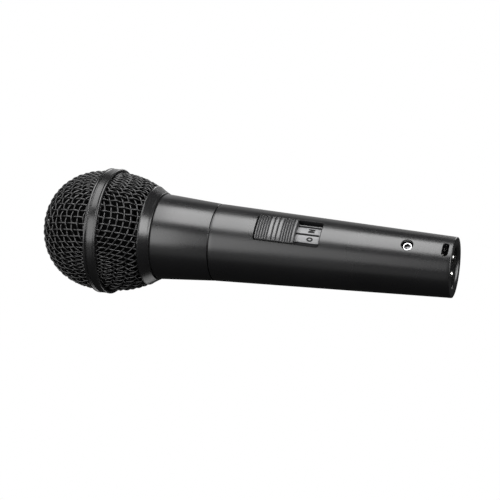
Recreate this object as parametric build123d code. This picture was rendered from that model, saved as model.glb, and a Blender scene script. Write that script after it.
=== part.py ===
from build123d import *
import os
from math import atan, cos, pi, sin

# A handheld dynamic vocal microphone, in millimetres, as an assembly of separate pieces.
# The origin is the centre of the connector mouth, on the tail's end face. +X leaves the tail, so the
# grille is at -X, and the on-off switch faces +Z. A "station" is the distance from the tail face
# towards the grille: a point at station s has x = -s.

# ---- handle and ferrule
TAIL_RADIUS = 12.5
HANDLE_SLOPE = 0.038          # radius gained per mm of station
HANDLE_END = 100.6
HANDLE_WALL = 2.2
EDGE_BREAK = 0.35             # chamfer on the turned edges
SEAM_GAP = 0.5                # dark line between the handle and the ferrule
FERRULE_END = 125.5
FERRULE_FRONT_RADIUS = 18.2
SPIGOT_START = 88.7
SPIGOT_RADIUS = 14.05
SPIGOT_PLAY = 0.05
FERRULE_BORE = 12.2
NECK_END = 132.9
SEAT_START = 121.5
SEAT_RADIUS = 14.3

# ---- grille thread, shown as rings: one turn lifts the grille by one pitch
THREAD_PITCH = 1.0
THREAD_START = 126.7
MALE_CREST = 15.9
MALE_ROOT = 15.5
FEMALE_CREST = 16.0
FEMALE_ROOT = 16.35

# ---- grille
GASKET_THICKNESS = 0.35
GASKET_GAP = 0.03
COLLAR_START = 125.95
COLLAR_END = 130.3
COLLAR_BACK_RADIUS = 18.7
COLLAR_RIM_RADIUS = 21.2
SLEEVE_END = 132.5
SLEEVE_RADIUS = 18.0
MESH_THICKNESS = 1.4          # two wires deep
MESH_TUCK = 129.1             # the rear mesh's edge, inside the collar's channel
BAND_START = 146.7
BAND_END = 152.2
BAND_RADIUS = 26.9
BAND_BORE = 25.8
MESH_SPLIT = 149.0            # the two meshes meet under the band
DOME_START = 151.5
DOME_RADIUS = 25.75
DOME_LENGTH = 27.0
DOME_POWER = 2.2              # a superellipse, slightly squarer than a sphere
HOOP_LENGTH = 4.3
HOOP_RADIUS = 24.05
HOOP_THICKNESS = 0.5
FOAM_THICKNESS = 2.9

# ---- cartridge (the moving-coil capsule) and its rubber mount
CARTRIDGE_BACK = 124.0
CARTRIDGE_FRONT = 146.5
CARTRIDGE_RADIUS = 11.0
CARTRIDGE_BORE = 10.3
YOKE_BACK = 128.0
YOKE_TOP = 140.0
YOKE_WALL_BORE = 7.7
POLE_RADIUS = 6.8
POLE_THICKNESS = 4.0
MAGNET_RADIUS = 6.3
YOKE_BASE = 2.0
COIL_INNER = 7.05
COIL_OUTER = 7.4
COIL_BACK = 136.7
DIAPHRAGM_STATION = 141.5
DIAPHRAGM_SKIN = 0.15
DOME_RISE = 2.3
ROLL_HEIGHT = 0.9
DIAPHRAGM_EDGE = 10.2
MOUNT_LENGTH = 9.0
TERMINAL_SPREAD = 5.0
TERMINAL_BACK = 119.3

# ---- connector, a three-contact male plug insert
MOUTH_RADIUS = 8.15
MOUTH_CHAMFER = 0.8           # lead-in for the cable plug
INSERT_FACE = 12.8
INSERT_SEAT = 13.55
INSERT_END = 22.0
INSERT_RADIUS = 9.45
INSERT_BORE_END = 24.0
CONTACT_RADIUS = 1.2
CONTACT_SHANK = 1.4
CONTACT_CUP = 1.0             # radius of the solder cup
CONTACT_TIP = 1.2
CONTACT_POINTING = 0.5        # length of the tip's cone
CONTACT_TAIL = 26.0
CONTACT_CIRCLE = 4.95
LATCH_STATION = 3.0
LATCH_WIDTH = 2.6
LATCH_SPAN = 6.2
SCREW_STATION = 18.6
SCREW_RADIUS = 1.95
SCREW_HOLE_RADIUS = 2.45
SCREW_FOOT = 5.4              # height of the screw's lower end above the axis
SCREW_SUNK = 1.5              # how far its top is below the handle's surface
HEX_ACROSS_FLATS = 2.4
HEX_DEPTH = 1.6

# ---- switch: window in the handle, tray, label plate, thumb slider and slide switch
SWITCH_STATION = 68.3
WINDOW_HALF_LENGTH = 13.95
WINDOW_HALF_WIDTH = 6.25
WINDOW_CORNER = 1.05
TRAY_PLAY = 0.05
TRAY_RIM = 0.35
TRAY_FLOOR_RADIUS = 12.4      # underside of the floor, measured from the handle's axis
TRAY_FLOOR = 0.3
TRAY_SUNK = 0.35              # how far the tray's rim is below the handle's surface
PLATE_THICKNESS = 0.2
PLATE_HALF_WIDTH = 3.9
RAIL_FROM = 4.25
RAIL_TO = 5.1
SLOT_WIDTH = 0.8
SLIDER_LENGTH = 16.5
SLIDER_BACK = -13.2           # grille-side end, along the travel from the window's middle
SLIDER_HALF_WIDTH = 5.7
SLIDER_UNDERSIDE = 13.1
SLIDER_PROUD = 0.08
SLIDER_TRAVEL = 10.0
RIB_GROOVE_WIDTH = 0.52
RIB_GROOVE_DEPTH = 0.4
FINE_RIB = 0.55
WIDE_RIB = 1.4
FINE_RIBS_FRONT = 5
WIDE_RIBS = 3
FINE_RIBS_BACK = 4
CAN_HALF_LENGTH = 10.0
CAN_HALF_WIDTH = 3.6
CAN_TOP = -3.35               # heights are from the handle's surface line, outwards positive
CAN_BOTTOM = -8.6
CAN_WALL = 0.4
BASE_THICKNESS = 1.0
TAG_SPACING = 5.0
TAG_SPREAD = 2.2
TAG_TOP = -8.0
TAG_BOTTOM = -13.0
CARRIAGE_TOP = -4.0
CARRIAGE_BOTTOM = -5.5
POST_TOP = -1.05
POST_HALF_LENGTH = 0.65
POST_WIDTH = 0.6
POST_PLAY = 0.1

# ---- leads
LEAD_RADIUS = 0.55

SWITCH_RADIUS = TAIL_RADIUS + HANDLE_SLOPE * SWITCH_STATION
SWITCH_TILT = atan(HANDLE_SLOPE)
# local x runs along the travel towards the tail, local z out of the handle
SWITCH_PLANE = Plane(
    origin=(-SWITCH_STATION, 0, SWITCH_RADIUS),
    x_dir=(cos(SWITCH_TILT), 0, -sin(SWITCH_TILT)),
    z_dir=(sin(SWITCH_TILT), 0, cos(SWITCH_TILT)),
)
RIM_RADIUS = SWITCH_RADIUS - TRAY_SUNK
SLIDER_TOP = SWITCH_RADIUS + SLIDER_PROUD
POST_STATION = SLIDER_BACK + SLIDER_LENGTH / 2


def handle_radius(station):
    return TAIL_RADIUS + HANDLE_SLOPE * station


def turned(corners):
    """Body of revolution about the long axis, from (station, radius) corners."""
    outline = Polyline(*[(-s, r) for s, r in corners], close=True)
    return revolve(Plane.XZ * make_face(outline), Axis.X)


def turned_between(outer, inner):
    """Shell of revolution between two smooth (station, radius) curves, both listed grille-wards."""
    outer = [(-s, r) for s, r in outer]
    inner = [(-s, r) for s, r in inner]
    sides = [Spline(*outer), Line(outer[-1], inner[-1]), Spline(*inner), Line(inner[0], outer[0])]
    return revolve(Plane.XZ * make_face(sides), Axis.X)


def tube(start, end, inner, outer):
    return turned([(start, inner), (start, outer), (end, outer), (end, inner)])


def rod(start, end, radius, y=0.0, z=0.0):
    """Cylinder along the long axis at the given place."""
    return Pos(-end, y, z) * extrude(Plane.YZ * Circle(radius), amount=end - start)


def ring_of(count, radius, first_angle=0.0):
    """(y, z) places spaced evenly on a circle about the long axis."""
    angles = [first_angle + 2 * pi * i / count for i in range(count)]
    return [(radius * cos(a), radius * sin(a)) for a in angles]


def thread_corners(start, end, crest, root):
    """Zigzag of (station, radius) corners for a run of thread rings."""
    corners = []
    for turn in range(int((end - start) / THREAD_PITCH)):
        s = start + turn * THREAD_PITCH
        corners += [(s, root), (s + 0.3 * THREAD_PITCH, crest)]
        corners += [(s + 0.6 * THREAD_PITCH, crest), (s + 0.9 * THREAD_PITCH, root)]
    return corners


def superellipse(radius, length, start, steps=9):
    """Dome meridian from its open edge to its tip."""
    points = []
    for i in range(steps + 1):
        angle = pi / 2 * i / steps
        along = sin(angle) ** (2 / DOME_POWER)
        across = max(cos(angle), 0.0) ** (2 / DOME_POWER)
        points.append((start + length * along, radius * across if i < steps else 0.0))
    return points


# ------------------------------------------------------------------ handle and ferrule

def handle_shell():
    socket_start = SPIGOT_START - 0.2
    wall_start = INSERT_BORE_END + 1.0
    shell = turned([
        (0, MOUTH_RADIUS + MOUTH_CHAMFER),
        (0, TAIL_RADIUS - EDGE_BREAK),
        (EDGE_BREAK, handle_radius(EDGE_BREAK)),
        (HANDLE_END - EDGE_BREAK / 2, handle_radius(HANDLE_END)),
        (HANDLE_END, handle_radius(HANDLE_END) - EDGE_BREAK / 2),
        (HANDLE_END, SPIGOT_RADIUS + SPIGOT_PLAY),
        (socket_start, SPIGOT_RADIUS + SPIGOT_PLAY),
        (socket_start, handle_radius(socket_start) - HANDLE_WALL),
        (wall_start, handle_radius(wall_start) - HANDLE_WALL),
        (INSERT_BORE_END, INSERT_RADIUS + SPIGOT_PLAY),
        (INSERT_SEAT, INSERT_RADIUS + SPIGOT_PLAY),
        (INSERT_SEAT, MOUTH_RADIUS),
        (MOUTH_CHAMFER, MOUTH_RADIUS),
    ])
    seam_underneath = Rot(180, 0, 0) * shell
    return seam_underneath - switch_window() - screw_hole() - latch_slot()


def switch_window():
    block = Box(2 * WINDOW_HALF_LENGTH, 2 * WINDOW_HALF_WIDTH, 12)
    block = fillet(block.edges().filter_by(Axis.Z), WINDOW_CORNER)
    return SWITCH_PLANE * block


def screw_hole():
    return Pos(-SCREW_STATION, 0, TAIL_RADIUS) * Cylinder(SCREW_HOLE_RADIUS, 10)


def latch_slot():
    """Slot across the switch line, near the mouth, that the cable plug's latch springs into."""
    slot = SlotOverall(LATCH_SPAN, LATCH_WIDTH, rotation=90)
    return Pos(-LATCH_STATION, 0, MOUTH_RADIUS - 3) * extrude(slot, amount=10)


def ferrule():
    start = HANDLE_END + SEAM_GAP
    corners = [
        (SPIGOT_START, FERRULE_BORE),
        (SPIGOT_START, SPIGOT_RADIUS),
        (start, SPIGOT_RADIUS),
        (start, handle_radius(start) - EDGE_BREAK / 2),
        (start + EDGE_BREAK / 2, handle_radius(start)),
        (FERRULE_END - EDGE_BREAK / 2, FERRULE_FRONT_RADIUS),
        (FERRULE_END, FERRULE_FRONT_RADIUS - EDGE_BREAK / 2),
        (FERRULE_END, MALE_ROOT),
    ]
    corners += thread_corners(THREAD_START, NECK_END, MALE_CREST, MALE_ROOT)
    corners += [
        (NECK_END, MALE_ROOT),
        (NECK_END, SEAT_RADIUS),
        (SEAT_START, SEAT_RADIUS),
        (SEAT_START, FERRULE_BORE),
    ]
    return turned(corners)


# ------------------------------------------------------------------ grille

def grille_gasket():
    start = FERRULE_END + GASKET_GAP
    return tube(start, start + GASKET_THICKNESS, FEMALE_CREST + 0.3, FERRULE_FRONT_RADIUS - 0.25)


def grille_collar():
    channel_inner = SLEEVE_RADIUS + 0.2
    channel_outer = rear_mesh_curve(0)[0][1] + 0.1
    channel_floor = MESH_TUCK - 0.1
    corners = [
        (COLLAR_START, FEMALE_ROOT),
        (COLLAR_START, COLLAR_BACK_RADIUS - 0.15),
        (COLLAR_START + 0.2, COLLAR_BACK_RADIUS),
        (COLLAR_END - 0.25, COLLAR_RIM_RADIUS),
        (COLLAR_END, COLLAR_RIM_RADIUS - 0.1),
        (COLLAR_END, channel_outer + 0.95),
        (channel_floor, channel_outer),
        (channel_floor, channel_inner),
        (SLEEVE_END, SLEEVE_RADIUS - 0.2),
        (SLEEVE_END, FEMALE_ROOT),
    ]
    corners += reversed(thread_corners(THREAD_START + 0.05, SLEEVE_END, FEMALE_CREST, FEMALE_ROOT))
    return turned(corners)


def rear_mesh_curve(inset):
    """Outline of the rear mesh, flaring from the collar to the band."""
    places = [(MESH_TUCK, 19.75), (133.8, 22.3), (138.0, 23.8), (142.5, 24.95), (MESH_SPLIT - 0.1, 25.7)]
    return [(s, r - inset) for s, r in places]


def grille_rear_mesh():
    return turned_between(rear_mesh_curve(0), rear_mesh_curve(MESH_THICKNESS))


def dome_curve(inset):
    start = (MESH_SPLIT + 0.1, DOME_RADIUS - inset)
    return [start] + superellipse(DOME_RADIUS - inset, DOME_LENGTH - inset, DOME_START)


def domed_shell(outer, inner):
    """Shell of revolution closed by a dome: both curves end on the long axis."""
    outer = [(-s, r) for s, r in outer]
    inner = [(-s, r) for s, r in inner]
    upright = (0, -1)
    sides = [
        Spline(*outer, tangents=[(-1, 0), upright]),
        Line(outer[-1], inner[-1]),
        Spline(*inner, tangents=[(-1, 0), upright]),
        Line(inner[0], outer[0]),
    ]
    return revolve(Plane.XZ * make_face(sides), Axis.X)


def grille_front_mesh():
    return domed_shell(dome_curve(0), dome_curve(MESH_THICKNESS))


def grille_band():
    """Rolled band over the joint of the two meshes, with a bead and a groove at its front edge."""
    groove_start = BAND_END - 1.25
    groove_end = BAND_END - 0.85
    return turned([
        (BAND_START, BAND_BORE),
        (BAND_START, BAND_RADIUS - 0.45),
        (BAND_START + 0.45, BAND_RADIUS),
        (groove_start, BAND_RADIUS),
        (groove_start + 0.1, BAND_RADIUS - 0.35),
        (groove_end - 0.1, BAND_RADIUS - 0.35),
        (groove_end, BAND_RADIUS - 0.05),
        (BAND_END - 0.3, BAND_RADIUS - 0.05),
        (BAND_END, BAND_RADIUS - 0.35),
        (BAND_END, BAND_BORE),
    ])


def grille_hoop():
    start = BAND_START + 0.2
    return tube(start, start + HOOP_LENGTH, HOOP_RADIUS - HOOP_THICKNESS, HOOP_RADIUS)


def foam_windscreen():
    """Foam liner behind both meshes, open towards the handle."""
    def curve(radius):
        flare = [(133.7, radius - 3.4), (140.0, radius - 1.3), (146.0, radius - 0.2)]
        return flare + superellipse(radius, radius - 23.45 + 25.3, DOME_START)

    outer_radius = HOOP_RADIUS - HOOP_THICKNESS - 0.1
    outer = [(-s, r) for s, r in curve(outer_radius)]
    inner = [(-s, r) for s, r in curve(outer_radius - FOAM_THICKNESS)]
    sides = [
        Spline(*outer, tangents=[(-2, 1), (0, -1)]),
        Line(outer[-1], inner[-1]),
        Spline(*inner, tangents=[(-2, 1), (0, -1)]),
        Line(inner[0], outer[0]),
    ]
    return revolve(Plane.XZ * make_face(sides), Axis.X)


# ------------------------------------------------------------------ cartridge

def shock_mount():
    """Rubber ring of H section: a clamped outer sleeve, a thin web and a sleeve round the cartridge."""
    start = SEAT_START + 0.05
    end = start + MOUNT_LENGTH
    web_start = start + 4.0
    web_end = web_start + 1.2
    inner = CARTRIDGE_RADIUS + 0.02
    return turned([
        (start, SEAT_RADIUS - 1.0), (start, SEAT_RADIUS), (end, SEAT_RADIUS), (end, SEAT_RADIUS - 1.0),
        (web_end, SEAT_RADIUS - 1.0), (web_end, inner + 1.0), (end - 1.0, inner + 1.0),
        (end - 1.0, inner), (start + 2.6, inner), (start + 2.6, inner + 1.0),
        (web_start, inner + 1.0), (web_start, SEAT_RADIUS - 1.0),
    ])


def cartridge_housing():
    ledge_start = YOKE_TOP + 0.7
    ledge = DIAPHRAGM_EDGE - 0.35
    lip = CARTRIDGE_FRONT - 0.75
    return turned([
        (CARTRIDGE_BACK, CARTRIDGE_BORE),
        (CARTRIDGE_BACK, CARTRIDGE_RADIUS - 0.2),
        (CARTRIDGE_BACK + 0.2, CARTRIDGE_RADIUS),
        (CARTRIDGE_FRONT - 0.3, CARTRIDGE_RADIUS),
        (CARTRIDGE_FRONT, CARTRIDGE_RADIUS - 0.3),
        (CARTRIDGE_FRONT, 9.4),
        (lip, 9.4),
        (lip, CARTRIDGE_BORE),
        (DIAPHRAGM_STATION - 0.05, CARTRIDGE_BORE),
        (DIAPHRAGM_STATION - 0.05, ledge),
        (ledge_start, ledge),
        (ledge_start, CARTRIDGE_BORE),
    ])


def resonator_plate():
    """Perforated front cover whose skirt clamps the diaphragm's edge."""
    front = CARTRIDGE_FRONT - 0.8
    back = front - 1.0
    edge = CARTRIDGE_BORE - 0.05
    plate = turned([
        (DIAPHRAGM_STATION + 0.2, edge - 0.45), (DIAPHRAGM_STATION + 0.2, edge), (front, edge),
        (front, 0), (back, 0), (back, edge - 0.45),
    ])
    for y, z in [(0, 0)] + ring_of(6, 3.4) + ring_of(12, 6.8, 0.26):
        plate -= rod(back - 1, front + 1, 0.9, y, z)
    return plate


def front_cloth():
    back = CARTRIDGE_FRONT - 0.8 - 1.0
    return turned([(back - 0.25, 0), (back - 0.25, 9.5), (back, 9.5), (back, 0)])


def yoke_cup():
    edge = CARTRIDGE_BORE - 0.05
    floor = YOKE_BACK + YOKE_BASE
    return turned([
        (YOKE_BACK, 0), (YOKE_BACK, edge), (YOKE_TOP, edge), (YOKE_TOP, YOKE_WALL_BORE),
        (floor, YOKE_WALL_BORE), (floor, 0),
    ])


def magnet():
    return rod(YOKE_BACK + YOKE_BASE, YOKE_TOP - POLE_THICKNESS, MAGNET_RADIUS)


def pole_piece():
    return rod(YOKE_TOP - POLE_THICKNESS, YOKE_TOP, POLE_RADIUS)


def felt_damper():
    return tube(YOKE_TOP, YOKE_TOP + 0.6, YOKE_WALL_BORE + 0.3, CARTRIDGE_BORE - 0.1)


def voice_coil():
    return tube(COIL_BACK, DIAPHRAGM_STATION, COIL_INNER, COIL_OUTER)


def diaphragm_dome():
    """Thin cap of a sphere standing on the coil."""
    rise = DOME_RISE
    radius = (COIL_OUTER ** 2 + rise ** 2) / (2 * rise)
    centre = -(DIAPHRAGM_STATION + rise - radius)
    shell = Pos(centre, 0, 0) * Sphere(radius) - Pos(centre, 0, 0) * Sphere(radius - DIAPHRAGM_SKIN)
    return shell & rod(DIAPHRAGM_STATION, DIAPHRAGM_STATION + rise + 1, COIL_OUTER)


def diaphragm_surround():
    """Half-roll between the dome and the clamped edge."""
    inner = COIL_OUTER + 0.03
    flat = 0.55
    roll_inner = inner
    roll_outer = DIAPHRAGM_EDGE - flat
    middle = (roll_inner + roll_outer) / 2
    base = -DIAPHRAGM_STATION
    top = base - ROLL_HEIGHT
    skin = DIAPHRAGM_SKIN
    sides = [
        ThreePointArc((base - skin, roll_inner), (top - skin, middle), (base - skin, roll_outer)),
        Line((base - skin, roll_outer), (base - skin, DIAPHRAGM_EDGE)),
        Line((base - skin, DIAPHRAGM_EDGE), (base, DIAPHRAGM_EDGE)),
        Line((base, DIAPHRAGM_EDGE), (base, roll_outer)),
        ThreePointArc((base, roll_outer), (top, middle), (base, roll_inner)),
        Line((base, roll_inner), (base - skin, roll_inner)),
    ]
    return revolve(Plane.XZ * make_face(sides), Axis.X)


def cartridge_rear_cover():
    cover = rod(CARTRIDGE_BACK, CARTRIDGE_BACK + 1.5, CARTRIDGE_BORE - 0.05)
    for y, z in ring_of(4, 7.5, pi / 4):
        cover -= rod(CARTRIDGE_BACK - 1, CARTRIDGE_BACK + 3, 0.8, y, z)
    return cover


def cartridge_terminals():
    length = CARTRIDGE_BACK - TERMINAL_BACK
    middle = -(CARTRIDGE_BACK + TERMINAL_BACK) / 2
    tags = [Pos(middle, side * TERMINAL_SPREAD, 0) * Box(length, 0.5, 2.4) for side in (1, -1)]
    return Compound(children=tags)


# ------------------------------------------------------------------ connector

def contact_place(number):
    """(y, z) of a contact: 1 and 2 at the sides, 3 opposite the latch, all on one circle."""
    return {1: (CONTACT_CIRCLE, 0), 2: (-CONTACT_CIRCLE, 0), 3: (0, -CONTACT_CIRCLE)}[number]


def xlr_insert():
    insert = rod(INSERT_SEAT + 0.05, INSERT_END, INSERT_RADIUS)
    insert += rod(INSERT_FACE, INSERT_SEAT + 0.05, MOUTH_RADIUS - 0.1)
    for number in (1, 2, 3):
        insert -= rod(INSERT_FACE - 1, INSERT_END + 1, CONTACT_SHANK, *contact_place(number))
    thread_hole = Pos(-SCREW_STATION, 0, SCREW_FOOT - 0.2 + 5) * Cylinder(SCREW_RADIUS + 0.03, 10)
    return insert - thread_hole


def xlr_contact(number):
    """Pointed contact, thicker where the insert grips it, with a solder cup at its inner end."""
    point = CONTACT_TIP + CONTACT_POINTING
    shoulder = INSERT_FACE - 0.02
    contact = turned([
        (CONTACT_TIP, 0), (CONTACT_TIP, CONTACT_RADIUS - 0.45), (point, CONTACT_RADIUS),
        (shoulder, CONTACT_RADIUS), (shoulder, CONTACT_SHANK), (INSERT_END, CONTACT_SHANK),
        (INSERT_END, CONTACT_CUP), (CONTACT_TAIL, CONTACT_CUP), (CONTACT_TAIL, 0),
    ])
    cup = rod(CONTACT_TAIL - 2.5, CONTACT_TAIL + 1, LEAD_RADIUS + 0.1)
    return Pos(0, *contact_place(number)) * (contact - cup)


def xlr_ground_spring():
    """Leaf on the insert's inner face that bears on the handle and joins contact 1 to it."""
    thickness = 0.3
    width = 3.0
    reach = INSERT_RADIUS + SPIGOT_PLAY
    plate = Pos(-INSERT_END - thickness / 2, 0, reach / 2 + 1) * Box(thickness, width, reach - 2)
    leaf = Pos(-INSERT_END - 0.85, 0, reach - 0.15) * Box(1.7, width, thickness * 2)
    spring = (plate + leaf) & rod(INSERT_END, INSERT_END + 3, reach)
    spring = Rot(-90, 0, 0) * spring
    hole = rod(INSERT_END - 1, CONTACT_TAIL, CONTACT_CUP, *contact_place(1))
    inside = rod(INSERT_END - 1, CONTACT_TAIL, CONTACT_CIRCLE - 2.2)
    return spring - hole - inside


def xlr_retaining_screw():
    """Set screw with a hex socket that backs out against the handle and locks the insert."""
    top = handle_radius(SCREW_STATION) - SCREW_SUNK
    body = Cylinder(SCREW_RADIUS, top - SCREW_FOOT, align=(Align.CENTER, Align.CENTER, Align.MIN))
    body = chamfer(body.edges().group_by(Axis.Z)[-1], 0.25)
    socket = RegularPolygon(HEX_ACROSS_FLATS / 2, 6, major_radius=False)
    body -= Pos(0, 0, top - SCREW_FOOT - HEX_DEPTH) * extrude(socket, amount=HEX_DEPTH + 1)
    return Pos(-SCREW_STATION, 0, SCREW_FOOT) * body


# ------------------------------------------------------------------ switch, in the switch plane

def curved_bar(start, end, half_width, low, high, corner=0.0):
    """Bar along the travel whose top and underside are arcs about the handle's axis."""
    place = Plane(origin=(start, 0, -SWITCH_RADIUS), x_dir=(0, 1, 0), z_dir=(1, 0, 0))
    strip = Pos(0, high / 2) * Rectangle(2 * half_width, high)
    bar = extrude(place * ((Circle(high) - Circle(low)) & strip), amount=end - start)
    return fillet(bar.edges().filter_by(Axis.Z), corner) if corner else bar


def block(start, end, half_width, bottom, top, y=0.0):
    middle = ((start + end) / 2, y, (bottom + top) / 2)
    return Pos(*middle) * Box(end - start, 2 * half_width, top - bottom)


def lever_slot(width):
    """The cut along the travel that the switch's lever runs in."""
    return block(POST_STATION - 2, WINDOW_HALF_LENGTH - 1.3, width / 2, CAN_TOP - 1, 0)


def switch_tray():
    half_length = WINDOW_HALF_LENGTH - TRAY_PLAY
    half_width = WINDOW_HALF_WIDTH - TRAY_PLAY
    floor = TRAY_FLOOR_RADIUS + TRAY_FLOOR
    pocket_end = half_length - TRAY_RIM
    pocket_side = half_width - TRAY_RIM
    tray = curved_bar(-half_length, half_length, half_width, TRAY_FLOOR_RADIUS, RIM_RADIUS, WINDOW_CORNER)
    tray -= curved_bar(-pocket_end, pocket_end, pocket_side, floor, RIM_RADIUS + 2, 0.7)
    for side in (1, -1):
        rail = curved_bar(-pocket_end, pocket_end, RAIL_TO, floor - 0.1, floor + PLATE_THICKNESS)
        tray += rail & block(-pocket_end, pocket_end, (RAIL_TO - RAIL_FROM) / 2, -5, 0,
                             side * (RAIL_TO + RAIL_FROM) / 2)
    return tray - lever_slot(SLOT_WIDTH) + tray_hooks(half_length)


def tray_hooks(half_length):
    """Two snap legs under the ends of the window."""
    legs = None
    for side in (1, -1):
        near, far = sorted((side * (half_length - 1.0), side * half_length))
        out_near, out_far = sorted((side * (half_length - 1.0), side * (half_length + 0.6)))
        leg = block(near, far, 2.4, -3.4, TRAY_FLOOR_RADIUS - SWITCH_RADIUS)
        leg += block(out_near, out_far, 2.4, -3.9, -3.3)
        legs = leg if legs is None else legs + leg
    return legs


def switch_plate():
    """Bright label plate on the tray's floor, slotted for the lever."""
    low = TRAY_FLOOR_RADIUS + TRAY_FLOOR
    end = WINDOW_HALF_LENGTH - TRAY_PLAY - TRAY_RIM - 0.1
    plate = curved_bar(-end, end, PLATE_HALF_WIDTH, low, low + PLATE_THICKNESS)
    return plate - lever_slot(SLOT_WIDTH)


def rib_grooves():
    """(start, end) of each groove between the slider's ribs, from its grille-side end."""
    ribs = [FINE_RIB] * FINE_RIBS_FRONT + [WIDE_RIB] * WIDE_RIBS + [FINE_RIB] * FINE_RIBS_BACK
    edge = SLIDER_BACK
    grooves = []
    for rib in ribs:
        edge += rib
        grooves.append((edge, edge + RIB_GROOVE_WIDTH))
        edge += RIB_GROOVE_WIDTH
    return grooves


def thumb_slider():
    slider = curved_bar(
        SLIDER_BACK, SLIDER_BACK + SLIDER_LENGTH, SLIDER_HALF_WIDTH, SLIDER_UNDERSIDE, SLIDER_TOP, 0.6
    )
    for start, end in rib_grooves():
        slider -= curved_bar(start, end, WINDOW_HALF_WIDTH, SLIDER_TOP - RIB_GROOVE_DEPTH, SLIDER_TOP + 1)
    reach = POST_HALF_LENGTH + POST_PLAY
    socket = block(POST_STATION - reach, POST_STATION + reach, POST_WIDTH / 2 + POST_PLAY, -3, POST_TOP + 0.1)
    return slider - socket


def switch_can():
    """Folded metal can of the slide switch, open underneath."""
    can = block(-CAN_HALF_LENGTH, CAN_HALF_LENGTH, CAN_HALF_WIDTH, CAN_BOTTOM, CAN_TOP)
    can -= block(
        CAN_WALL - CAN_HALF_LENGTH, CAN_HALF_LENGTH - CAN_WALL, CAN_HALF_WIDTH - CAN_WALL,
        CAN_BOTTOM - 1, CAN_TOP - CAN_WALL,
    )
    reach = POST_HALF_LENGTH + 0.4
    slot = block(POST_STATION - reach, POST_STATION + SLIDER_TRAVEL + reach, POST_WIDTH / 2 + 0.2, CAN_TOP - 2, 0)
    return can - slot


def tag_places():
    return [(i * TAG_SPACING, side * TAG_SPREAD) for i in (-1, 0, 1) for side in (1, -1)]


def tag(x, y):
    return block(x - 0.6, x + 0.6, 0.2, TAG_BOTTOM, TAG_TOP, y)


def switch_terminals():
    return Compound(children=[tag(x, y) for x, y in tag_places()])


def switch_base():
    base = block(
        -CAN_HALF_LENGTH, CAN_HALF_LENGTH, CAN_HALF_WIDTH, CAN_BOTTOM - BASE_THICKNESS, CAN_BOTTOM
    )
    for x, y in tag_places():
        base -= tag(x, y)
    return base


def switch_actuator():
    """Carriage inside the can with the lever post that the slider drives."""
    carriage = block(POST_STATION - 3, POST_STATION + 3, 2.8, CARRIAGE_BOTTOM, CARRIAGE_TOP)
    post = block(
        POST_STATION - POST_HALF_LENGTH, POST_STATION + POST_HALF_LENGTH, POST_WIDTH / 2,
        CARRIAGE_TOP - 0.1, POST_TOP,
    )
    return carriage + post


def switch_moving_contact():
    """Bridge under the carriage whose two legs wipe over the tags."""
    start, end = POST_STATION - 2.7, POST_STATION + 2.7
    bridge = block(start, end, TAG_SPREAD + 0.5, CARRIAGE_BOTTOM - 0.3, CARRIAGE_BOTTOM)
    for side in (1, -1):
        bridge += block(start, end, 0.15, TAG_TOP + 0.15, CARRIAGE_BOTTOM - 0.2, side * TAG_SPREAD)
        bridge += block(start, end, 0.5, TAG_TOP + 0.15, TAG_TOP + 0.45, side * TAG_SPREAD)
    return bridge


# ------------------------------------------------------------------ leads

def tag_tip(x, y):
    """Row-frame point just under a switch tag."""
    tip = SWITCH_PLANE.from_local_coords(Vector(x, y, TAG_BOTTOM))
    return (tip.X, tip.Y, tip.Z)


def lead(*controls):
    """Round lead along a Bezier curve through row-frame control points."""
    path = Bezier(*controls)
    start = Plane(origin=path @ 0, z_dir=path % 0)
    return sweep(start * Circle(LEAD_RADIUS), path)


def cup_mouth(number):
    y, z = contact_place(number)
    return (-(CONTACT_TAIL - 2.4), y, z)


def lead_switch_front():
    """From the cartridge's live terminal to the nearest switch tag, arriving from below."""
    end = tag_tip(-TAG_SPACING, TAG_SPREAD)
    return lead((-TERMINAL_BACK, TERMINAL_SPREAD, 0), (-100, TERMINAL_SPREAD, 0), (end[0], end[1], -9), end)


def lead_return():
    """From the cartridge's other terminal, under the switch, to contact 3."""
    end = cup_mouth(3)
    return lead(
        (-TERMINAL_BACK, -TERMINAL_SPREAD, 0), (-100, -TERMINAL_SPREAD, 0), (-70, -3, -11),
        (end[0] - 12, end[1], end[2]), end,
    )


def lead_switch_tail():
    """From the switch to contact 2, leaving downwards."""
    start = tag_tip(TAG_SPACING, -TAG_SPREAD)
    end = cup_mouth(2)
    return lead(start, (start[0], start[1], -5), (end[0] - 15, end[1], end[2]), end)


# ------------------------------------------------------------------ output

ALONG_THE_HANDLE = {
    "handle_shell": handle_shell,
    "ferrule": ferrule,
    "grille_gasket": grille_gasket,
    "grille_collar": grille_collar,
    "grille_rear_mesh": grille_rear_mesh,
    "grille_front_mesh": grille_front_mesh,
    "grille_band": grille_band,
    "grille_hoop": grille_hoop,
    "foam_windscreen": foam_windscreen,
    "shock_mount": shock_mount,
    "cartridge_housing": cartridge_housing,
    "resonator_plate": resonator_plate,
    "front_cloth": front_cloth,
    "yoke_cup": yoke_cup,
    "magnet": magnet,
    "pole_piece": pole_piece,
    "felt_damper": felt_damper,
    "voice_coil": voice_coil,
    "diaphragm_dome": diaphragm_dome,
    "diaphragm_surround": diaphragm_surround,
    "cartridge_rear_cover": cartridge_rear_cover,
    "cartridge_terminals": cartridge_terminals,
    "xlr_insert": xlr_insert,
    "xlr_ground_spring": xlr_ground_spring,
    "xlr_retaining_screw": xlr_retaining_screw,
    "lead_switch_front": lead_switch_front,
    "lead_switch_tail": lead_switch_tail,
    "lead_return": lead_return,
}

IN_THE_SWITCH_PLANE = {
    "switch_tray": switch_tray,
    "switch_plate": switch_plate,
    "thumb_slider": thumb_slider,
    "switch_can": switch_can,
    "switch_base": switch_base,
    "switch_terminals": switch_terminals,
    "switch_actuator": switch_actuator,
    "switch_moving_contact": switch_moving_contact,
}

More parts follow.
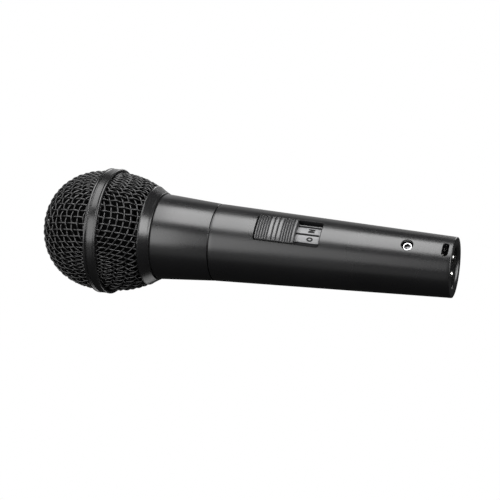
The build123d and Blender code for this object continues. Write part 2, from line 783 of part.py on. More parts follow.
os.makedirs("parts", exist_ok=True)
for name, make in ALONG_THE_HANDLE.items():
    export_step(make(), f"parts/{name}.step")
for name, make in IN_THE_SWITCH_PLANE.items():
    export_step(SWITCH_PLANE * make(), f"parts/{name}.step")
for number in (1, 2, 3):
    export_step(xlr_contact(number), f"parts/xlr_contact_{number}.step")
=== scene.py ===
from math import atan, cos, hypot, pi, radians, sin, sqrt, tan

import bpy
import numpy as np
from mathutils import Matrix, Vector, noise


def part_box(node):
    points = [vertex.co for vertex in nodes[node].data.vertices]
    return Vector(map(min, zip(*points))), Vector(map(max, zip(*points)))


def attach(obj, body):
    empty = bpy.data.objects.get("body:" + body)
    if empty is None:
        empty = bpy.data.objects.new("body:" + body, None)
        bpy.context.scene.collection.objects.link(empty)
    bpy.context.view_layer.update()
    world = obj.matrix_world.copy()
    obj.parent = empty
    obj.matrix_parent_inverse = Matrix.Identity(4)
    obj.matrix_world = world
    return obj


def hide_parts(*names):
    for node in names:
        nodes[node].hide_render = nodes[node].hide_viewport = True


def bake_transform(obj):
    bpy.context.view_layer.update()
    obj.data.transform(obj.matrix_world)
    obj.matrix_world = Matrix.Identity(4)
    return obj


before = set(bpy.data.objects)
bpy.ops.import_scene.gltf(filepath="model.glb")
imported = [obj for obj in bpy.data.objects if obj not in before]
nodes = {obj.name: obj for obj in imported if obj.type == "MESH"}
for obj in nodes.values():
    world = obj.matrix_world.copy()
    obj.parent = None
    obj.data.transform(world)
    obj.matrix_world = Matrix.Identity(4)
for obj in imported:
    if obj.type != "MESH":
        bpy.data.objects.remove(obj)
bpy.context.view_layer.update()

# Lengths below are in millimetres and become metres when a mesh is made. A station is the distance
# from the tail's end face towards the grille, so x = -station. +Z is the side with the switch.
MM = 0.001
TURN = 2 * pi


def span(node):
    """(lowest station, highest station, largest radius) of a CAD node, in millimetres."""
    low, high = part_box(node)
    return -high.x / MM, -low.x / MM, high.y / MM


# ---- sizes: spans from the frame, and the CAD's inner sizes

_, HANDLE_END, HANDLE_FRONT_RADIUS = span("handle_shell")
TAIL_RADIUS = 12.5
HANDLE_SLOPE = (HANDLE_FRONT_RADIUS - TAIL_RADIUS) / HANDLE_END
HANDLE_WALL = 2.2
SOCKET_RADIUS = 14.15
MOUTH_RADIUS = 8.15
MOUTH_DEPTH = 13.55
MOUTH_CHAMFER = 0.8
INSERT_SEAT_RADIUS = 9.5
INSERT_SEAT_END = 24.0

FERRULE_SPIGOT, NECK_END, FERRULE_RADIUS = span("ferrule")
FERRULE_START = HANDLE_END + 0.5
FERRULE_END = 125.5
FERRULE_BORE = 12.2
SPIGOT_RADIUS = 14.05
SEAM_DEPTH = 0.7
NECK_RADIUS = 15.5
NECK_BORE = 14.3
NECK_BORE_START = 121.5

GASKET_START, GASKET_END, GASKET_RADIUS = span("grille_gasket")
COLLAR_START, SLEEVE_END, COLLAR_RADIUS = span("grille_collar")
COLLAR_END = 130.3
COLLAR_BORE = 16.35
COLLAR_FOOT_RADIUS = 18.7
BAND_START, BAND_END, BAND_RADIUS = span("grille_band")
BAND_BORE = 25.8
THREAD_DEPTH = 0.4

MESH_TUCK, MESH_SPLIT, REAR_RADIUS = span("grille_rear_mesh")
_, TIP, DOME_RADIUS = span("grille_front_mesh")
DOME_START = 151.5
REAR_START = 149.5
REAR_LENGTH = 31.0
FRONT_TUCK = 2.3
BOWL_POWER = 2.2
WIRE_RADIUS = 0.36
WIRE_PITCH = 2.8
WIRE_SIDES = 8
SHEET_REACH = 17
FRONT_BEARING = 23.5
REAR_BEARING = 21.5

SWITCH_STATION = 68.3
SWITCH_RADIUS = TAIL_RADIUS + HANDLE_SLOPE * SWITCH_STATION
SWITCH_TILT = atan(HANDLE_SLOPE)
WINDOW_HALF_LENGTH = 13.95
WINDOW_HALF_WIDTH = 6.25
WINDOW_CORNER = 1.05
WINDOW_EDGE = 0.14
TRAY_TOP = SWITCH_RADIUS - 0.35
TRAY_BOTTOM = 12.4
TRAY_FLOOR = 12.7
TRAY_RIM = 0.25
LABEL_TOP = 12.9
LEGEND_PLACE = 9.4

SCREW_STATION = 18.6
SCREW_HOLE_RADIUS = 2.45
SCREW_HOLE_DEPTH = 8.0
LATCH_STATION = 3.0
LATCH_HALF_LENGTH = 3.1
LATCH_HALF_WIDTH = 1.3
LATCH_DEPTH = 6.5
HOLE_EDGE = 0.22


def handle_radius(station):
    """Radius of the handle's tapered skin."""
    return TAIL_RADIUS + HANDLE_SLOPE * station


# ---- mesh helpers

def shade(mesh, sharp_angle):
    """Smooth shading, except across edges sharper than the angle in degrees."""
    mesh.polygons.foreach_set("use_smooth", [True] * len(mesh.polygons))
    mesh.set_sharp_from_angle(angle=radians(sharp_angle))


def make_object(name, points, faces, materials, sharp_angle=40.0):
    """Mesh object from millimetre points."""
    mesh = bpy.data.meshes.new(name)
    mesh.from_pydata((np.asarray(points, float) * MM).tolist(), [], faces)
    mesh.validate()
    shade(mesh, sharp_angle)
    piece = bpy.data.objects.new(name, mesh)
    bpy.context.scene.collection.objects.link(piece)
    for material in materials:
        mesh.materials.append(material)
    return piece


def loft(loops, closed=False):
    """(points, faces) of a skin over loops of equal length; closed joins the last loop to the first."""
    count = len(loops[0])
    points = [p for loop in loops for p in loop]
    faces = []
    rows = len(loops) if closed else len(loops) - 1
    for row in range(rows):
        a, b = row * count, (row + 1) % len(loops) * count
        for i in range(count):
            j = (i + 1) % count
            faces.append((a + i, a + j, b + j, b + i))
    if not closed:
        faces.append(tuple(reversed(range(count))))
        faces.append(tuple((len(loops) - 1) * count + i for i in range(count)))
    return points, faces


def circle(station, radius, count=256):
    """Points round the long axis, starting at the switch side."""
    return [
        (-station, radius * sin(TURN * i / count), radius * cos(TURN * i / count)) for i in range(count)
    ]


def oval(half_length, half_width, count):
    """Closed oval outline in a plane."""
    return [(half_length * cos(TURN * i / count), half_width * sin(TURN * i / count)) for i in range(count)]


def lathe(profile, count=256):
    """Closed ring whose section is the (station, radius) profile."""
    return loft([circle(s, r, count) for s, r in profile], closed=True)


def rounded(corners, radius, steps=4):
    """(station, radius) outline with each corner replaced by a small arc-like curve."""
    outline = []
    for i, (s, r) in enumerate(corners):
        here = Vector((s, r))
        before, after = Vector(corners[i - 1]), Vector(corners[(i + 1) % len(corners)])
        cut = min(radius, (before - here).length * 0.45, (after - here).length * 0.45)
        start = here + (before - here).normalized() * cut
        end = here + (after - here).normalized() * cut
        for k in range(steps + 1):
            t = k / steps
            p = start * (1 - t) ** 2 + here * 2 * t * (1 - t) + end * t ** 2
            outline.append((p.x, p.y))
    return outline


def merge(parts):
    """One (points, faces) from several."""
    points, faces = [], []
    for more_points, more_faces in parts:
        shift = len(points)
        points += list(more_points)
        faces += [tuple(i + shift for i in f) for f in more_faces]
    return points, faces


def stand_for(piece, body, slot, *cad_nodes):
    """Puts the piece on its body, in place of the CAD nodes; slot is not used."""
    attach(piece, body)
    if cad_nodes:
        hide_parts(*cad_nodes)
    return piece


# ---- materials

def set_inputs(node, **values):
    """Sets inputs of a shader node; an underscore in a name stands for a space."""
    for name, value in values.items():
        node.inputs[name.replace("_", " ")].default_value = value
    return node


def surface(name, base, roughness, metallic=0.0, vary=0.15, rough_vary=0.08, vary_scale=60.0,
            grain_scale=4000.0, grain=0.05, grain_depth=0.00002, coat=0.0, sheen=0.0, specular=0.5):
    """Principled material with slow colour and roughness drift, and a fine grain in its normal."""
    material = bpy.data.materials.new(name)
    material.use_nodes = True
    tree = material.node_tree
    shader = set_inputs(
        tree.nodes["Principled BSDF"], Metallic=metallic, Coat_Weight=coat, Coat_Roughness=0.25,
        Sheen_Weight=sheen, Specular_IOR_Level=specular,
    )
    place = tree.nodes.new("ShaderNodeTexCoord")
    drift = set_inputs(tree.nodes.new("ShaderNodeTexNoise"), Scale=vary_scale, Detail=4.0)
    tree.links.new(place.outputs["Object"], drift.inputs["Vector"])
    colour = tree.nodes.new("ShaderNodeMix")
    colour.data_type = "RGBA"
    darker = [c * (1 - vary) for c in base]
    lighter = [min(1, c * (1 + vary)) for c in base]
    set_inputs(colour, A=(*darker, 1), B=(*lighter, 1))
    tree.links.new(drift.outputs["Fac"], colour.inputs["Factor"])
    tree.links.new(colour.outputs["Result"], shader.inputs["Base Color"])
    rough = set_inputs(
        tree.nodes.new("ShaderNodeMapRange"), From_Min=0.3, From_Max=0.7,
        To_Min=roughness - rough_vary, To_Max=roughness + rough_vary,
    )
    tree.links.new(drift.outputs["Fac"], rough.inputs["Value"])
    tree.links.new(rough.outputs["Result"], shader.inputs["Roughness"])
    fine = set_inputs(tree.nodes.new("ShaderNodeTexNoise"), Scale=grain_scale, Detail=2.0)
    tree.links.new(place.outputs["Object"], fine.inputs["Vector"])
    bump = set_inputs(tree.nodes.new("ShaderNodeBump"), Strength=grain, Distance=grain_depth)
    tree.links.new(fine.outputs["Fac"], bump.inputs["Height"])
    tree.links.new(bump.outputs["Normal"], shader.inputs["Normal"])
    return material


# Satin black baked enamel with the slightest orange peel, the smoother one of the collar and band, and
# the coat of the wires.
ENAMEL = surface("satin_enamel", (0.007, 0.007, 0.0074), 0.28, grain_scale=2500.0, grain=0.12,
                 rough_vary=0.03, vary_scale=40.0, specular=0.6)
RIM_ENAMEL = surface("rim_enamel", (0.007, 0.007, 0.0073), 0.26, grain_scale=9000.0, grain=0.01,
                     rough_vary=0.03, vary_scale=90.0, specular=0.6)
WIRE_COAT = surface("wire_coat", (0.008, 0.008, 0.0083), 0.23, grain_scale=5000.0, grain=0.08,
                    rough_vary=0.04, vary_scale=700.0, specular=0.5)

# Soft materials.
FOAM = surface("open_cell_foam", (0.002, 0.002, 0.0021), 0.95, vary=0.5, vary_scale=1600.0,
               grain_scale=2600.0, grain=1.0, grain_depth=0.0003, specular=0.03)
RUBBER = surface("matt_rubber", (0.012, 0.012, 0.012), 0.75, grain_scale=6000.0, grain=0.3, specular=0.3)
CLOTH = surface("woven_cloth", (0.02, 0.02, 0.02), 0.9, vary=0.4, vary_scale=2500.0,
                grain_scale=3500.0, grain=0.8, grain_depth=0.00008, sheen=0.2)
FELT = surface("felt", (0.42, 0.4, 0.37), 0.95, vary=0.25, vary_scale=1800.0,
               grain_scale=3000.0, grain=0.8, grain_depth=0.0001, sheen=0.3)

# Plastics, board, film and wire insulation.
MOULDED = surface("moulded_black", (0.02, 0.02, 0.021), 0.42, grain_scale=7000.0, grain=0.25,
                  rough_vary=0.05, specular=0.5)
# The tray's plastic is a darker, duller black than the moulded parts: its own black with painted shade for
# the switch window's recess.
TRAY_SHADE_BLACK = surface("tray_painted_shade", (0.008, 0.008, 0.0085), 0.75, grain_scale=7000.0, grain=0.3,
                     rough_vary=0.05, specular=0.12)
SLIDER = surface("slider_black", (0.024, 0.024, 0.025), 0.36, grain_scale=7000.0, grain=0.15,
                 rough_vary=0.05, specular=0.7)
CAPSULE = surface("capsule_plastic", (0.05, 0.05, 0.054), 0.45, vary=0.15, vary_scale=200.0)
BOARD = surface("phenolic_board", (0.32, 0.19, 0.09), 0.5, vary=0.2, vary_scale=300.0)
FILM = surface("polyester_film", (0.55, 0.53, 0.46), 0.2, vary=0.08, vary_scale=300.0, coat=0.3)
RED_LEAD = surface("red_insulation", (0.5, 0.02, 0.015), 0.4, vary=0.08, vary_scale=500.0, coat=0.1)
WHITE_LEAD = surface("white_insulation", (0.7, 0.7, 0.67), 0.4, vary=0.08, vary_scale=500.0, coat=0.1)

# The label plate, the ink on it, and the inside of the set screw's socket, a darker steel as painted shade
# in the hex recess.
LABEL = surface("label_silver", (0.165, 0.165, 0.169), 0.5, vary=0.06,
                vary_scale=900.0, grain_scale=9000.0, grain=0.2)
INK = surface("legend_ink", (0.006, 0.006, 0.006), 0.7, grain_scale=9000.0, grain=0.2, specular=0.15)
SOCKET_SHADE_STEEL = surface("socket_painted_shade", (0.12, 0.12, 0.124), 0.32, metallic=1.0,
                       grain_scale=6000.0, grain=0.2)

# Bare metals.
BRIGHT_STEEL = surface("bright_steel", (0.78, 0.78, 0.79), 0.22, metallic=1.0, vary=0.06, rough_vary=0.06,
                       vary_scale=500.0, grain_scale=9000.0, grain=0.1)
DULL_STEEL = surface("dull_steel", (0.5, 0.5, 0.51), 0.38, metallic=1.0, vary=0.1, vary_scale=400.0)
CONTACT = surface("contact_silver", (0.86, 0.85, 0.82), 0.2, metallic=1.0, vary=0.05, vary_scale=600.0)
BRASS = surface("tinned_brass", (0.72, 0.66, 0.48), 0.35, metallic=1.0, vary=0.12, vary_scale=500.0)
MAGNET = surface("magnet_metal", (0.33, 0.33, 0.35), 0.45, metallic=1.0, vary=0.15, vary_scale=300.0)


def copper_winding():
    """Enamelled wire laid turn by turn round the long axis."""
    material = surface("copper_winding", (0.62, 0.26, 0.1), 0.3, metallic=0.9, vary=0.1, vary_scale=500.0)
    tree = material.node_tree
    place = tree.nodes["Texture Coordinate"]
    turns = set_inputs(tree.nodes.new("ShaderNodeTexWave"), Scale=2500.0)
    turns.bands_direction = "X"
    tree.links.new(place.outputs["Object"], turns.inputs["Vector"])
    bump = set_inputs(tree.nodes["Bump"], Strength=0.8)
    tree.links.new(turns.outputs["Fac"], bump.inputs["Height"])
    return material


CARRIED_OVER = {
    "grille_hoop": DULL_STEEL,
    "cartridge_housing": CAPSULE,
    "resonator_plate": CAPSULE,
    "yoke_cup": DULL_STEEL,
    "magnet": MAGNET,
    "pole_piece": DULL_STEEL,
    "voice_coil": copper_winding(),
    "diaphragm_dome": FILM,
    "diaphragm_surround": FILM,
    "cartridge_rear_cover": BOARD,
    "cartridge_terminals": BRASS,
    "xlr_ground_spring": BRASS,
    "lead_switch_tail": RED_LEAD,
    "switch_can": DULL_STEEL,
    "switch_base": BOARD,
    "switch_terminals": BRASS,
    "switch_actuator": MOULDED,
    "switch_moving_contact": BRASS,
    "xlr_insert": MOULDED,
}


def dress_cad_nodes():
    """Gives the CAD nodes that stay visible their materials."""
    for name, material in CARRIED_OVER.items():
        mesh = nodes[name].data
        mesh.materials.clear()
        mesh.materials.append(material)


# ---- switch plane

SWITCH_FRAME = Matrix((
    (cos(SWITCH_TILT), 0, sin(SWITCH_TILT), -SWITCH_STATION),
    (0, 1, 0, 0),
    (-sin(SWITCH_TILT), 0, cos(SWITCH_TILT), SWITCH_RADIUS),
    (0, 0, 0, 1),
))


def from_switch(points):
    """Millimetre points of the switch plane (along, across, out) in the object's frame."""
    return [tuple(SWITCH_FRAME @ Vector(p)) for p in points]


def arc_height(across, radius):
    """Height, from the handle's surface line, of an arc about the handle's axis."""
    return sqrt(radius ** 2 - across ** 2) - SWITCH_RADIUS


def rounded_rectangle(half_length, half_width, corner, steps=8, along=24, across=12):
    """Plan outline as (along, across) points, counter-clockwise, with points on the straights too."""
    outline = []
    corners = [(1, 1, 0), (-1, 1, 1), (-1, -1, 2), (1, -1, 3)]
    for index, (sx, sy, quarter) in enumerate(corners):
        cx, cy = sx * (half_length - corner), sy * (half_width - corner)
        for k in range(steps + 1):
            angle = pi / 2 * (quarter + k / steps)
            outline.append((cx + corner * cos(angle), cy + corner * sin(angle)))
        nx, ny, _ = corners[(index + 1) % 4]
        last = outline[-1]
        angle = pi / 2 * (quarter + 1)
        target = (nx * (half_length - corner) + corner * cos(angle),
                  ny * (half_width - corner) + corner * sin(angle))
        count = along if index % 2 == 0 else across
        for k in range(1, count):
            t = k / count
            outline.append((last[0] + (target[0] - last[0]) * t, last[1] + (target[1] - last[1]) * t))
    return outline


# ---- handle

def handle_profile():
    """Closed section of the handle: outside, front socket, bore and connector mouth."""
    outside = [(HANDLE_END * i / 50, handle_radius(HANDLE_END * i / 50)) for i in range(1, 50)]
    socket = FERRULE_SPIGOT - 0.2
    front = [
        (HANDLE_END, HANDLE_FRONT_RADIUS), (HANDLE_END, SOCKET_RADIUS), (socket, SOCKET_RADIUS),
        (socket, handle_radius(socket) - HANDLE_WALL),
    ]
    bore_end = INSERT_SEAT_END + 1.0
    bore_stations = [socket + (bore_end - socket) * i / 20 for i in range(1, 21)]
    bore = [(station, handle_radius(station) - HANDLE_WALL) for station in bore_stations]
    mouth = [
        (INSERT_SEAT_END, INSERT_SEAT_RADIUS), (MOUTH_DEPTH, INSERT_SEAT_RADIUS),
        (MOUTH_DEPTH, MOUTH_RADIUS), (MOUTH_CHAMFER, MOUTH_RADIUS), (0.0, MOUTH_RADIUS + MOUTH_CHAMFER),
    ]
    return rounded([(0.0, TAIL_RADIUS)] + outside + front + bore + mouth, 0.3, 4)


def window_cutter():
    """Cutter for the switch window, flared where it meets the skin to break the edge."""
    loops = []
    for height, flare in [(-5.0, 0.0), (-0.22, 0.0), (-0.08, 0.3), (0.08, 1.0), (3.0, 1.0)]:
        grow = WINDOW_EDGE * flare
        outline = rounded_rectangle(
            WINDOW_HALF_LENGTH + grow, WINDOW_HALF_WIDTH + grow, WINDOW_CORNER + grow
        )
        loops.append(from_switch([(x, y, surface_height(x, y) + height) for x, y in outline]))
    return loft(loops)


def surface_height(along, across):
    """Height of the handle's skin above the switch plane at a plan point."""
    radius = handle_radius(SWITCH_STATION - along * cos(SWITCH_TILT))
    return (sqrt(radius ** 2 - across ** 2) - radius) * cos(SWITCH_TILT)


def hole_cutter(station, outline, depth):
    """Cutter for a hole facing +Z at a station, flared where it meets the skin."""
    loops = []
    for height, flare in [(-depth, 0.0), (-0.2, 0.0), (-0.07, 0.3), (0.07, 1.0), (3.0, 1.0)]:
        loop = []
        for x, y in outline:
            reach = hypot(x, y)
            scale = (reach + HOLE_EDGE * flare) / reach
            px, py = x * scale, y * scale
            radius = handle_radius(station - px)
            loop.append((-station + px, py, sqrt(radius ** 2 - py ** 2) + height))
        loops.append(loop)
    return loft(loops)


def capsule_outline(half_length, half_width, steps=16):
    """Slot outline running across the handle."""
    outline = []
    middle = half_length - half_width
    for sign in (1, -1):
        for k in range(steps + 1):
            angle = pi * k / steps if sign > 0 else pi + pi * k / steps
            outline.append((half_width * cos(angle), sign * middle + half_width * sin(angle)))
    return outline


def cut(piece, cutters):
    """Takes each closed cutter mesh out of the piece."""
    for points, faces in cutters:
        tool = make_object("cutter", points, faces, [])
        modifier = piece.modifiers.new("cut", "BOOLEAN")
        modifier.operation = "DIFFERENCE"
        modifier.solver = "EXACT"
        modifier.object = tool
        depsgraph = bpy.context.evaluated_depsgraph_get()
        mesh = bpy.data.meshes.new_from_object(piece.evaluated_get(depsgraph))
        piece.modifiers.clear()
        old = piece.data
        piece.data = mesh
        bpy.data.meshes.remove(old)
        bpy.data.objects.remove(tool)


def true_normals(piece, is_skin, normal_at):
    """Gives the vertices on a known smooth skin that skin's own normals, so cuts leave no shading marks."""
    mesh = piece.data
    normals = []
    for vertex in mesh.vertices:
        p = vertex.co / MM
        normals.append(normal_at(p) if is_skin(p) else (0, 0, 0))
    mesh.normals_split_custom_set_from_vertices(normals)


def build_handle():
    points, faces = lathe(handle_profile())
    piece = make_object("handle_body", points, faces, [ENAMEL])
    screw_hole = oval(SCREW_HOLE_RADIUS, SCREW_HOLE_RADIUS, 48)
    latch_slot = capsule_outline(LATCH_HALF_LENGTH, LATCH_HALF_WIDTH)
    cut(piece, [
        window_cutter(),
        hole_cutter(SCREW_STATION, screw_hole, SCREW_HOLE_DEPTH),
        hole_cutter(LATCH_STATION, latch_slot, LATCH_DEPTH),
    ])
    shade(piece.data, 35)

    def on_skin(p):
        gap = abs(hypot(p.y, p.z) - handle_radius(-p.x))
        return 0.5 < -p.x < HANDLE_END - 0.5 and gap < 0.004

    def cone_normal(p):
        outward = cos(SWITCH_TILT) / hypot(p.y, p.z)
        return (sin(SWITCH_TILT), p.y * outward, p.z * outward)

    true_normals(piece, on_skin, cone_normal)
    return stand_for(piece, "root", "satin_black_metal", "handle_shell")


# ---- ferrule, gasket, collar, band

def thread_outline(start, end, crest, root, pitch=1.0):
    """Ridges of a thread of that pitch, as (station, radius) corners."""
    corners = []
    for turn in range(int((end - start) / pitch)):
        s = start + turn * pitch
        corners += [(s, root), (s + 0.3 * pitch, crest), (s + 0.6 * pitch, crest), (s + 0.9 * pitch, root)]
    return corners


def build_ferrule():
    """Ferrule with its spigot, the shallow seam behind it and the threaded neck."""
    start_radius = handle_radius(FERRULE_START)
    seam, seam_radius = HANDLE_END + 0.03, start_radius - SEAM_DEPTH
    outside = [
        (FERRULE_SPIGOT, FERRULE_BORE), (FERRULE_SPIGOT, SPIGOT_RADIUS), (seam, SPIGOT_RADIUS),
        (seam, seam_radius), (FERRULE_START, seam_radius), (FERRULE_START, start_radius),
        (FERRULE_END, FERRULE_RADIUS), (FERRULE_END, NECK_RADIUS),
    ]
    thread = thread_outline(FERRULE_END + 1.2, NECK_END, NECK_RADIUS + THREAD_DEPTH, NECK_RADIUS)
    inside = [
        (NECK_END, NECK_RADIUS), (NECK_END, NECK_BORE), (NECK_BORE_START, NECK_BORE),
        (NECK_BORE_START, FERRULE_BORE),
    ]
    points, faces = lathe(rounded(outside + thread + inside, 0.22, 3))
    piece = make_object("ferrule_body", points, faces, [ENAMEL])
    return stand_for(piece, "root", "satin_black_metal", "ferrule")


def build_gasket():
    corners = [
        (GASKET_START, COLLAR_BORE), (GASKET_START, GASKET_RADIUS), (GASKET_END, GASKET_RADIUS),
        (GASKET_END, COLLAR_BORE),
    ]
    points, faces = lathe(rounded(corners, 0.12, 3))
    piece = make_object("collar_gasket", points, faces, [RUBBER])
    return stand_for(piece, "gasket", "black_rubber", "grille_gasket")


def build_collar():
    """Flared base ring with a fine rolled rim that the rear mesh is tucked behind."""
    pocket, pocket_outer, pocket_inner = COLLAR_END - 1.3, 19.85, 18.2
    outside = [
        (COLLAR_START, COLLAR_BORE), (COLLAR_START, COLLAR_FOOT_RADIUS),
        (COLLAR_START + 0.9, COLLAR_FOOT_RADIUS + 0.45),
        (COLLAR_END - 0.6, COLLAR_RADIUS - 0.28), (COLLAR_END - 0.42, COLLAR_RADIUS - 0.06),
        (COLLAR_END - 0.22, COLLAR_RADIUS), (COLLAR_END - 0.06, COLLAR_RADIUS - 0.12),
        (COLLAR_END, COLLAR_RADIUS - 0.34), (pocket, pocket_outer), (pocket, pocket_inner),
        (SLEEVE_END, pocket_inner - 0.4), (SLEEVE_END, COLLAR_BORE),
    ]
    crest = COLLAR_BORE - 0.35
    thread = list(reversed(thread_outline(FERRULE_END + 1.25, SLEEVE_END, crest, COLLAR_BORE)))
    points, faces = lathe(rounded(outside + thread, 0.16, 3))
    piece = make_object("collar_ring", points, faces, [RIM_ENAMEL])
    return stand_for(piece, "grille", "satin_black_metal", "grille_collar")


def build_band():
    """Rolled band: a rounded rear shoulder, a flat, a groove, then a bead along the front edge."""
    shoulder = [
        (BAND_START, BAND_RADIUS - 0.75), (BAND_START + 0.05, BAND_RADIUS - 0.3),
        (BAND_START + 0.2, BAND_RADIUS - 0.06), (BAND_START + 0.45, BAND_RADIUS),
        (BAND_START + 0.75, BAND_RADIUS - 0.04), (BAND_START + 1.0, BAND_RADIUS - 0.14),
    ]
    flat = [(BAND_START + 1.25, BAND_RADIUS - 0.2), (BAND_END - 2.05, BAND_RADIUS - 0.16)]
    groove = [
        (BAND_END - 1.85, BAND_RADIUS - 0.2), (BAND_END - 1.72, BAND_RADIUS - 0.6),
        (BAND_END - 1.36, BAND_RADIUS - 0.6),
    ]
    bead = [
        (BAND_END - 0.62 - 0.6 * cos(pi * k / 8), BAND_RADIUS - 0.55 + 0.5 * sin(pi * k / 8))
        for k in range(1, 8)
    ]
    ends = [(BAND_END, BAND_RADIUS - 0.75), (BAND_END, BAND_BORE), (BAND_START, BAND_BORE)]
    points, faces = lathe(rounded(shoulder + flat + groove + bead + ends, 0.12, 3))
    piece = make_object("middle_band", points, faces, [RIM_ENAMEL])
    return stand_for(piece, "grille", "satin_black_metal", "grille_band")


# ---- pressed woven mesh

class PressedBowl:
    """Half a superellipsoid about the long axis, running on as a cylinder behind its open edge."""

    def __init__(self, radius, length, power=BOWL_POWER):
        self.radius, self.length, self.power = radius, length, power

    def value(self, p):
        """Zero on the bowl, negative inside it."""
        across = sqrt(p[1] ** 2 + p[2] ** 2) / self.radius
        along = max(p[0], 0.0) / self.length
        return across ** self.power + along ** self.power - 1

    def slope(self, p):
        """Gradient of the value."""
        across = max(sqrt(p[1] ** 2 + p[2] ** 2), 1e-9)
        along = max(p[0], 0.0)
        radial = self.power * across ** (self.power - 1) / self.radius ** self.power
        axial = self.power * along ** (self.power - 1) / self.length ** self.power
        return np.array([axial, radial * p[1] / across, radial * p[2] / across])

    def normal(self, p):
        """Unit normal, pointing out."""
        slope = self.slope(p)
        return slope / np.linalg.norm(slope)

    def next_node(self, guess, anchors):
        """Point on the bowl one wire pitch from each anchor, near the guess."""
        p = np.array(guess, float)
        for _ in range(12):
            rows, errors = [self.slope(p)], [self.value(p)]
            for anchor in anchors:
                rows.append(2 * (p - anchor))
                errors.append(np.dot(p - anchor, p - anchor) - WIRE_PITCH ** 2)
            if len(anchors) == 1:
                rows.append(np.array([0.0, guess[2], -guess[1]]))
                errors.append(p[1] * guess[2] - p[2] * guess[1])
            step = np.linalg.lstsq(np.array(rows), np.array(errors), rcond=None)[0]
            p = p - step
        return p


def press_sheet(bowl, reach):
    """Crossings of a square-woven sheet pressed over the bowl from its pole, as {(i, j): point}.

    Wires keep their spacing along the two straight runs through the pole, and shear in between."""
    net = {(0, 0): np.array([bowl.length, 0.0, 0.0])}
    for i in range(1, reach + 1):
        for here, back, across in (((i, 0), (i - 1, 0), (1, 0)), ((0, i), (0, i - 1), (0, 1))):
            start = net[back]
            # a rough place, which next_node then corrects
            sink = -WIRE_PITCH * min(1.0, i / 9)
            guess = start + np.array([sink, *(np.array(across) * WIRE_PITCH * 0.7)])
            net[here] = bowl.next_node(guess, [start])
    for i in range(1, reach + 1):
        for j in range(1, reach + 1):
            left, below, diagonal = net[i - 1, j], net[i, j - 1], net[i - 1, j - 1]
            net[i, j] = bowl.next_node(left + below - diagonal, [left, below])
    for (i, j), p in list(net.items()):
        net[-i, j] = p * (1, -1, 1)
        net[i, -j] = p * (1, 1, -1)
        net[-i, -j] = p * (1, -1, -1)
    return net


def wire_path(bowl, knots, sign, samples=4):
    """Smooth run through crossings, swinging out and in by one wire radius from one to the next."""
    path = []
    for k in range(len(knots) - 1):
        p1, p2 = knots[k], knots[k + 1]
        p0 = knots[k - 1] if k else 2 * p1 - p2
        p3 = knots[k + 2] if k + 2 < len(knots) else 2 * p2 - p1
        for step in range(samples + (k == len(knots) - 2)):
            t = step / samples
            base = 0.5 * (2 * p1 + (p2 - p0) * t + (2 * p0 - 5 * p1 + 4 * p2 - p3) * t ** 2
                          + (3 * p1 - p0 - 3 * p2 + p3) * t ** 3)
            swing = WIRE_RADIUS * sign * (-1) ** k * cos(pi * t)
            path.append(base + bowl.normal(base) * swing)
    return path


def tube(path):
    """Round wire along a path, closed at both ends."""
    path = [np.array(p, float) for p in path]
    loops = []
    up = None
    for k, p in enumerate(path):
        ahead = path[min(k + 1, len(path) - 1)] - path[max(k - 1, 0)]
        ahead /= np.linalg.norm(ahead)
        if up is None:
            up = np.cross(ahead, (0.3, 0.5, 0.8))
        up = up - ahead * np.dot(up, ahead)
        up /= np.linalg.norm(up)
        side = np.cross(ahead, up)
        loops.append([
            tuple(p + WIRE_RADIUS * (up * cos(TURN * i / WIRE_SIDES) + side * sin(TURN * i / WIRE_SIDES)))
            for i in range(WIRE_SIDES)
        ])
    return loft(loops)


def runs_between(path, low, high):
    """Stretches of a path that stay between two heights, each of four points or more."""
    runs, run = [], []
    for p in path + [None]:
        if p is not None and low <= p[0] <= high:
            run.append(p)
            continue
        if len(run) > 3:
            runs.append(run)
        run = []
    return runs


def woven_bowl(bowl, base_station, forwards, low, high, bearing):
    """Wires of a pressed sheet kept between two heights above the bowl's open edge.

    forwards is +1 where the bowl's pole points away from the tail, and bearing turns the sheet about
    the long axis by that many degrees."""
    net = press_sheet(bowl, SHEET_REACH)
    angle = radians(bearing)
    turn = np.array([[cos(angle), -sin(angle)], [sin(angle), cos(angle)]])
    lines = range(-SHEET_REACH, SHEET_REACH + 1)
    tubes = []
    for family in (0, 1):
        for line in lines:
            knots = [net[(k, line) if family == 0 else (line, k)] for k in lines]
            sign = (-1) ** (line + SHEET_REACH + family)
            for run in runs_between(wire_path(bowl, knots, sign), low, high):
                placed = [(-(base_station + forwards * p[0]), *(turn @ p[1:])) for p in run]
                tubes.append(tube(placed))
    return merge(tubes)


def build_front_mesh():
    middle = WIRE_RADIUS * 2
    bowl = PressedBowl(DOME_RADIUS - middle, TIP - DOME_START - middle)
    past_pole = bowl.length + WIRE_PITCH
    points, faces = woven_bowl(bowl, DOME_START, 1, -FRONT_TUCK, past_pole, FRONT_BEARING)
    piece = make_object("front_wire_mesh", points, faces, [WIRE_COAT], 60)
    return stand_for(piece, "grille", "black_wire", "grille_front_mesh")


def build_rear_mesh():
    middle = WIRE_RADIUS * 2
    bowl = PressedBowl(REAR_RADIUS - middle, REAR_LENGTH - middle)
    low, high = REAR_START - MESH_SPLIT, REAR_START - MESH_TUCK
    points, faces = woven_bowl(bowl, REAR_START, -1, low, high, REAR_BEARING)
    piece = make_object("rear_wire_mesh", points, faces, [WIRE_COAT], 60)
    return stand_for(piece, "grille", "black_wire", "grille_rear_mesh")


